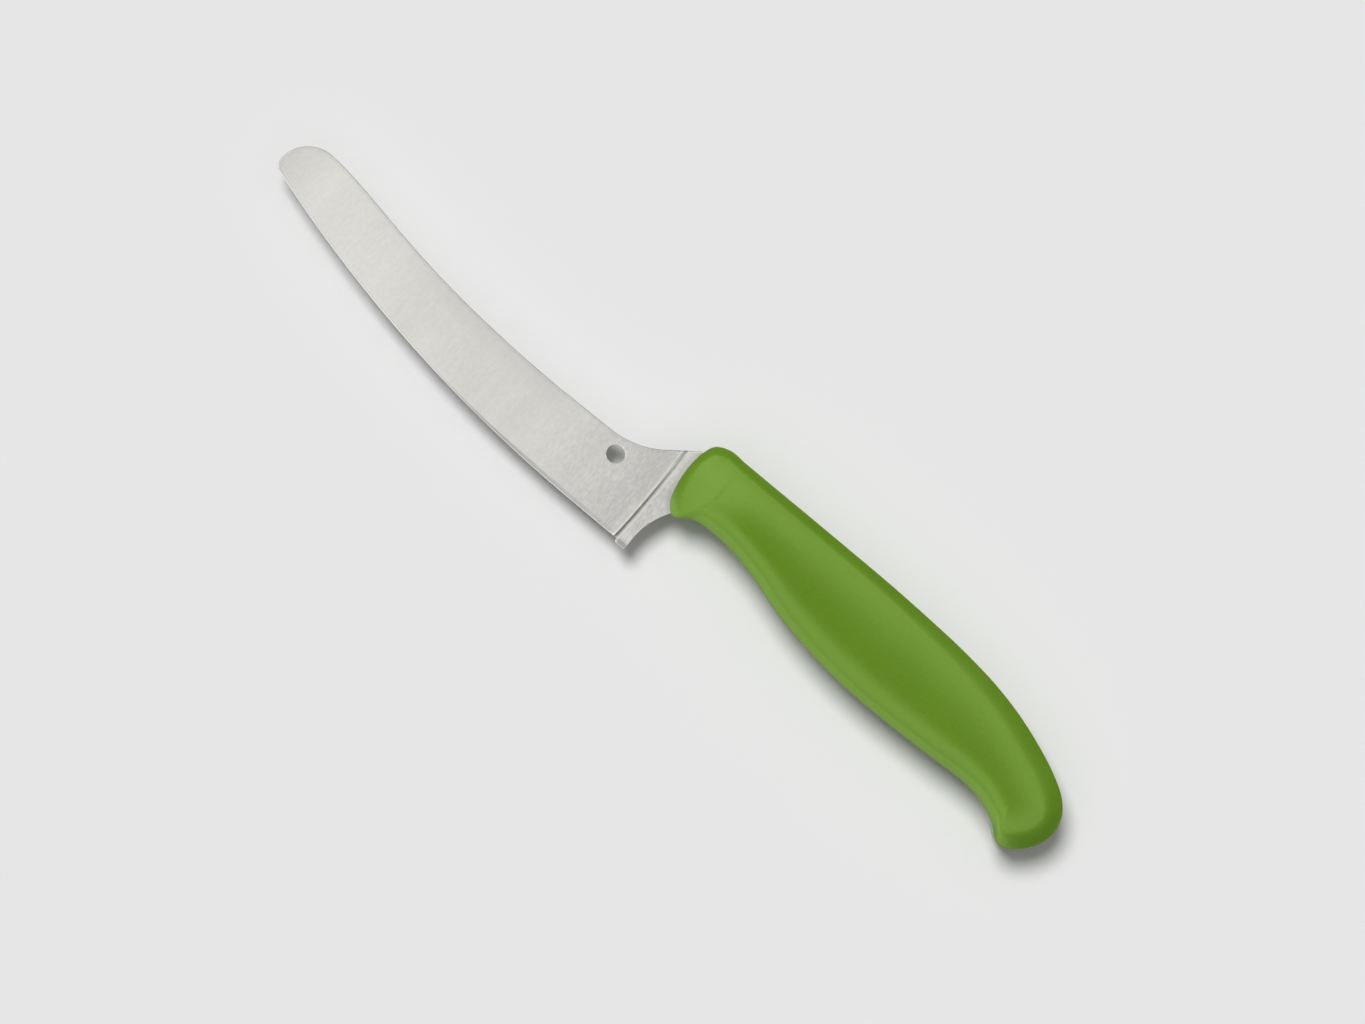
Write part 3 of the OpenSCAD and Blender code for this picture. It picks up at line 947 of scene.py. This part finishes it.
# What the grain adds, from far out on the blade to the neck, as places and gains
GRAIN_PLACES = (-32.0, 0.0)
GRAIN_GAINS = (0.9, 2.7)
# Painted light on the neck's upper and lower ends: what each adds, where the neck counts fully, and the ends'
# heights
NECK_HIGHLIGHTS = (0.5, 0.3)
NECK_FULL_X = -1.5
NECK_UPPER = (14.0, 19.0)
NECK_LOWER = (5.0, 1.0)
# Painted shade below the spine, a little darker: the share, the depths between which that fades, and the
# spine's bend
SPINE_SHADE = 0.34
SPINE_DEPTHS = (0.4, 5.5)
SPINE_BEND = 0.00153
# It sets in between two places from the waist, and fades to a share between two more towards the tip
SPINE_REAR = (8.0, -2.0)
SPINE_TIP = (-45.0, -28.0)
SPINE_TIP_SHARE = 0.2
# Painted shade on the ground bevel: (x, width, share of dark) from heel to tip, and where in its width it
# fades
BEVEL_SHADES = (
    (0.0, 1.25, 0.30),
    (-15.0, 1.2, 0.50),
    (-30.0, 1.15, 0.75),
    (-42.0, 0.65, 0.90),
    (-60.0, 0.25, 0.4),
)
BEVEL_FADE = (0.6, 1.0)
# Painted shade on the very edge and on the rim of the spine: the depths between which it fades, and its share
EDGE_DEPTHS = (0.15, 0.46)
EDGE_SHADE = 0.44
RIM_DEPTHS = (0.30, 1.00)
RIM_SHADE = 0.13
# Painted shade in the corner of the step at the end of the grind: its place ahead of the step's end, its
# fade, and its darkness from one height to the other
CORNER_X = 0.06
CORNER_FADE = (0.15, 0.50)
CORNER_HEIGHTS = (2.0, 20.0)
CORNER_SHADES = (0.72, 0.55)
# Painted highlights beside that corner, as (distance, share of high), and their fade
GLINTS = ((-0.65, 0.4), (0.75, 0.5))
GLINT_FADE = (0.1, 0.35)


def painted_blade_light(tree, x):
    """Share of the high tone at a place along the blade, as painted light and shade."""
    first, last = LIGHT_ALONG_BLADE[0][0], LIGHT_ALONG_BLADE[-1][0]
    along = ranged(tree, x, at_x(first), at_x(last), 0, 1)
    return tone_ramp(tree, along, [((place - first) / (last - first), share) for place, share in LIGHT_ALONG_BLADE])


def ground_colour(tree, x, y, grain):
    """The steel's colour, between its two tones, by the grain, and by painted light along the blade and at
    the ends of the neck.
    """
    strength = ranged(tree, x, *map(at_x, GRAIN_PLACES), *GRAIN_GAINS)
    grain = times(tree, minus(tree, grain, 0.5), strength)
    # Painted light on the upper and the lower end of the neck
    neck = ranged(tree, x, at_x(-PLUNGE_X), at_x(NECK_FULL_X), 0, 1, True)
    upper = ranged(tree, y, *map(at_y, NECK_UPPER), 0, NECK_HIGHLIGHTS[0], True)
    lower = ranged(tree, y, *map(at_y, NECK_LOWER), 0, NECK_HIGHLIGHTS[1], True)
    # Painted light and shade along the blade, with the grain
    share = plus(tree, painted_blade_light(tree, x), grain)
    share = plus(tree, share, times(tree, neck, plus(tree, upper, lower)))
    return blended(tree, share, STEEL_LOW, STEEL_HIGH)


def shade_below_spine(tree, x, y, colour):
    """The steel gets painted shade, a little darker, below the spine."""
    along = minus(tree, x, at_x(WAIST[0]))
    rise = times(tree, times(tree, along, along), SPINE_BEND / MM)
    below = minus(tree, plus(tree, rise, at_y(WAIST[1])), y)
    shade = ranged_mm(tree, below, SPINE_DEPTHS, SPINE_SHADE, 0, False)
    shade = times(tree, shade, ranged_mm(tree, along, SPINE_REAR, 0, 1))
    shade = times(tree, shade, ranged_mm(tree, along, SPINE_TIP, SPINE_TIP_SHARE, 1))
    return blended(tree, shade, colour, STEEL_LOW)


def height_over_edge(tree, place, x, y):
    """Distance above the cutting edge, which is straight at the heel and curved further out."""
    span = add_node(tree, "ShaderNodeVectorMath", [("Vector", place)], operation="DISTANCE")
    span.inputs[1].default_value = in_part_frame([*EDGE_CENTRE, 0]).tolist()
    curved = minus(tree, EDGE_R * MM, span.outputs["Value"])
    flat = minus(tree, y, at_y(0))
    is_curved = combined(tree, "LESS_THAN", x, at_x(EDGE_START))
    return plus(tree, times(tree, is_curved, curved), times(tree, minus(tree, 1, is_curved), flat))


def along_places(tree, x, places, values):
    """A value that runs straight from each place along the blade to the next."""
    total = values[0]
    for i in range(1, len(places)):
        change = ranged(tree, x, at_x(places[i - 1]), at_x(places[i]), 0, values[i] - values[i - 1])
        total = plus(tree, change, total)
    return total


def shade_edge(tree, place, x, y, colour):
    """Painted shade on the ground bevel, which dies out towards the tip, and darker painted shade on the very
    edge.
    """
    height = height_over_edge(tree, place, x, y)
    places, widths, darks = zip(*BEVEL_SHADES)
    width = along_places(tree, x, places, [width * MM for width in widths])
    fade = ranged(tree, combined(tree, "DIVIDE", height, width), *BEVEL_FADE, 1, 0, True)
    band = times(tree, fade, along_places(tree, x, places, darks))
    colour = blended(tree, band, colour, BEVEL_SHADE_COLOUR)
    return blended(tree, ranged_mm(tree, height, EDGE_DEPTHS, EDGE_SHADE, 0), colour, STEEL_SHADE_COLOUR)


def shade_rim(tree, y, colour):
    """Painted shade on the rounded rim of the spine and the tip."""
    depth = add_node(tree, "ShaderNodeAttribute", attribute_name="rim_depth").outputs["Fac"]
    rim = ranged(tree, depth, *RIM_DEPTHS, RIM_SHADE, 0, True)
    upper = ranged(tree, y, *map(at_y, RIM_HEIGHTS), 0, 1)
    return blended(tree, times(tree, rim, upper), colour, STEEL_SHADE_COLOUR)


def shade_step(tree, x, y, colour):
    """Painted shade in the corner of the step at the end of the grind, with a painted highlight on either
    side.
    """
    off = minus(tree, y, at_y(PLUNGE_BOW[0]))
    bow = times(tree, times(tree, off, off), PLUNGE_BOW[1] / MM)
    past = minus(tree, plus(tree, x, bow), at_x(-PLUNGE_X - CORNER_X))
    for distance, share in GLINTS:
        glint = ranged_mm(tree, distance_from(tree, past, distance * MM), GLINT_FADE, share, 0)
        colour = blended(tree, glint, colour, STEEL_HIGH)
    darkness = ranged(tree, y, *map(at_y, CORNER_HEIGHTS), *CORNER_SHADES)
    dark = times(tree, ranged_mm(tree, distance_from(tree, past, 0), CORNER_FADE, 1, 0), darkness)
    return blended(tree, dark, colour, STEEL_SHADE_COLOUR)


def steel_material():
    """Satin steel: fine grinding lines from the spine to the edge, with faint cloudy patches, and painted
    light and shade.
    """
    material = bpy.data.materials.new("ground_steel")
    tree, shader = nodes_of(material)
    shader.inputs["Metallic"].default_value = 1
    shader.inputs["Anisotropic"].default_value = STEEL_ANISOTROPY
    place = add_node(tree, "ShaderNodeTexCoord").outputs["Object"]
    axes = add_node(tree, "ShaderNodeSeparateXYZ", [("Vector", place)])
    x, y = axes.outputs["X"], axes.outputs["Y"]
    noises = (FINE_LINES, BROAD_LINES, STEEL_SPECKLE, STEEL_CLOUD)
    fine, broad, speckle, cloud = (stretched_noise(tree, place, *noise) for noise in noises)
    lines = weighted(tree, fine, broad, FINE_SHARE)
    clouded = weighted(tree, lines, cloud, LINES_SHARE)
    colour = ground_colour(tree, x, y, weighted(tree, clouded, speckle, CLOUDED_SHARE))
    colour = shade_below_spine(tree, x, y, colour)
    colour = shade_edge(tree, place, x, y, colour)
    colour = shade_rim(tree, y, colour)
    colour = shade_step(tree, x, y, colour)
    tree.links.new(colour, shader.inputs["Base Color"])
    tree.links.new(ranged(tree, clouded, *TONE_SPAN, *STEEL_ROUGHNESS), shader.inputs["Roughness"])
    add_bump(tree, shader, lines, *STEEL_BUMP)
    tangent = add_node(tree, "ShaderNodeTangent", direction_type="UV_MAP", uv_map="along_blade")
    tree.links.new(tangent.outputs["Tangent"], shader.inputs["Tangent"])
    return material


GREEN = (0.086, 0.190, 0.005)
GREEN_PALE = (0.112, 0.230, 0.011)
GREEN_GLOSS = (0.70, 1.0, 0.35)
# Noises of the plastic, as (stretch, scale, detail, offset): the mould's fine texture, cloud and speckle
MOULD_TEXTURE = ((1, 1, 1), 3600, 2, (0, 0, 0))
GREEN_CLOUD = ((1, 1, 1), 60, 3, (0.4, 0.3, 0))
GREEN_SPECKLE = ((1, 1, 1), 1500, 2, (0.1, 0.5, 0))
# Share of the cloud beside the speckle, their span from one green to the other, the roughness and the bump
CLOUD_SHARE = 0.4
GREEN_SPAN = (0.2, 0.8)
GREEN_ROUGHNESS = (0.235, 0.285)
GREEN_BUMP = (0.3, 0.00003)


def plastic_material():
    """Moulded plastic with a fine satin texture and a faint cloudy tone."""
    material = bpy.data.materials.new("moulded_green_plastic")
    tree, shader = nodes_of(material)
    shader.inputs["Specular IOR Level"].default_value = 1.0
    shader.inputs["Specular Tint"].default_value = (*GREEN_GLOSS, 1)
    place = add_node(tree, "ShaderNodeTexCoord").outputs["Object"]
    noises = (MOULD_TEXTURE, GREEN_CLOUD, GREEN_SPECKLE)
    texture, cloud, speckle = (stretched_noise(tree, place, *noise) for noise in noises)
    tone = ranged(tree, weighted(tree, cloud, speckle, CLOUD_SHARE), *GREEN_SPAN, 0, 1)
    tree.links.new(blended(tree, tone, GREEN, GREEN_PALE), shader.inputs["Base Color"])
    tree.links.new(ranged(tree, speckle, 0, 1, *GREEN_ROUGHNESS), shader.inputs["Roughness"])
    add_bump(tree, shader, texture, *GREEN_BUMP)
    return material


def dress(piece, material):
    piece.data.materials.clear()
    piece.data.materials.append(material)


# Camera: its turn against the knife, the place below it and its height above the middle of the handle, in
# metres, and its lens and sensor in millimetres
VIEW_TURN = 40.0
VIEW_CENTRE = (0.00501, -0.00133)
VIEW_HEIGHT = 1.130
VIEW_LENS = 135
VIEW_SENSOR = 36


def place_camera():
    """Straight above the knife, turned so that the knife lies from the upper left to the lower right."""
    camera = bpy.data.cameras.new("camera")
    camera.lens = VIEW_LENS
    camera.sensor_width = VIEW_SENSOR
    camera.sensor_fit = "HORIZONTAL"
    stand = bpy.data.objects.new("camera", camera)
    stand.location = (*VIEW_CENTRE, HANDLE_T / 2 * MM + VIEW_HEIGHT)
    stand.rotation_euler = (0, 0, math.radians(VIEW_TURN))
    bpy.context.scene.collection.objects.link(stand)
    bpy.context.scene.camera = stand


# Floor: half its width and how far it lies below the knife, in metres, and its tone
FLOOR_HALF = 3.0
FLOOR_DROP = 0.00002
FLOOR_TONE = 0.79

# Lamps: side of the picture that they shine from (right, up), tilt from above, angle across and strength
KEY = ((-0.35, 0.93), 25.5, 24.0, 2.455)
FILL = ((0.0, 1.0), 0.0, 105.0, 0.93)

# Brightness of the studio in reflections, by the height of the direction, where 1 is straight above
SKY_STOPS = (
    (0.0, 0.14),
    (0.60, 0.22),
    (0.78, 0.42),
    (0.84, 1.00),
    (0.94, 1.00),
    (0.972, 0.22),
    (1.0, 0.08),
)
SKY_STRENGTH = 1.65
# The studio is brighter towards the tip
SKY_SIDE = (-0.766, 0.643)
SKY_LEAN = 0.25
# It has a low bright wall beyond the belly, which fades out to its sides and to its top
WALL_SIDE = (-0.80, -0.60)
WALL_TONE = 0.85
WALL_SPREAD = (0.42, 0.66)
WALL_TOP = (0.60, 0.80)


def make_floor():
    """A plain pale floor, which isn't part of the knife."""
    mesh = bpy.data.meshes.new("floor")
    corners = ((-1, -1), (1, -1), (1, 1), (-1, 1))
    mesh.from_pydata([(x * FLOOR_HALF, y * FLOOR_HALF, 0) for x, y in corners], [], [(0, 1, 2, 3)])
    floor = bpy.data.objects.new("floor", mesh)
    bpy.context.scene.collection.objects.link(floor)
    floor.location.z = -FLOOR_DROP
    material = bpy.data.materials.new("paper_floor")
    _, shader = nodes_of(material)
    shader.inputs["Base Color"].default_value = (FLOOR_TONE, FLOOR_TONE, FLOOR_TONE, 1)
    shader.inputs["Roughness"].default_value = 1
    shader.inputs["Specular IOR Level"].default_value = 0
    dress(floor, material)


def image_direction(right, up):
    """Direction on the floor of a step to the right and up in the picture, one metre long."""
    turn = math.radians(VIEW_TURN)
    across = right * math.cos(turn) - up * math.sin(turn)
    along = right * math.sin(turn) + up * math.cos(turn)
    return Vector((across, along, 0)).normalized()


def add_lamp(name, side, tilt, angle, strength):
    """A far soft lamp that shines from a side of the picture, tilted from straight above."""
    lamp = bpy.data.lights.new(name, "SUN")
    lamp.angle = math.radians(angle)
    lamp.energy = strength
    stand = bpy.data.objects.new(name, lamp)
    source = image_direction(*side) * math.sin(math.radians(tilt))
    source.z = math.cos(math.radians(tilt))
    stand.rotation_euler = source.to_track_quat("Z", "Y").to_euler()
    stand.visible_glossy = False
    bpy.context.scene.collection.objects.link(stand)


def towards(tree, place, side):
    """How far a direction points towards a side of the picture."""
    node = add_node(tree, "ShaderNodeVectorMath", [("Vector", place)], operation="DOT_PRODUCT")
    node.inputs[1].default_value = image_direction(*side)
    return node.outputs["Value"]


def make_studio():
    """The studio around, which shows in reflections only, because the lamps alone light matt surfaces."""
    world = bpy.data.worlds.new("studio")
    bpy.context.scene.world = world
    world.use_nodes = True
    world.cycles_visibility.diffuse = False
    tree = world.node_tree
    place = add_node(tree, "ShaderNodeTexCoord").outputs["Generated"]
    height = add_node(tree, "ShaderNodeSeparateXYZ", [("Vector", place)]).outputs["Z"]
    low = ranged(tree, height, *WALL_TOP, 1, 0, True)
    beside = ranged(tree, towards(tree, place, WALL_SIDE), *WALL_SPREAD, 0, WALL_TONE, True)
    tone = plus(tree, tone_ramp(tree, height, SKY_STOPS), times(tree, low, beside))
    lean = times(tree, towards(tree, place, SKY_SIDE), SKY_STRENGTH * SKY_LEAN)
    back = tree.nodes["Background"]
    back.inputs["Color"].default_value = (1, 1, 1, 1)
    tree.links.new(times(tree, tone, plus(tree, lean, SKY_STRENGTH)), back.inputs["Strength"])


blade = make_blade()
handle = make_handle()
cut_tang_slot(handle)
shade_smooth(handle, HANDLE_SHARP)
dress(blade, steel_material())
dress(handle, plastic_material())
for piece, node, slot in ((blade, "blade", "blade_steel"), (handle, "handle", "handle_plastic")):
    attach(piece, "root")
    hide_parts(node)
make_floor()
place_camera()
make_studio()
add_lamp("key", *KEY)
add_lamp("fill", *FILL)
bpy.context.scene.view_settings.view_transform = "Standard"

bpy.context.view_layer.update()
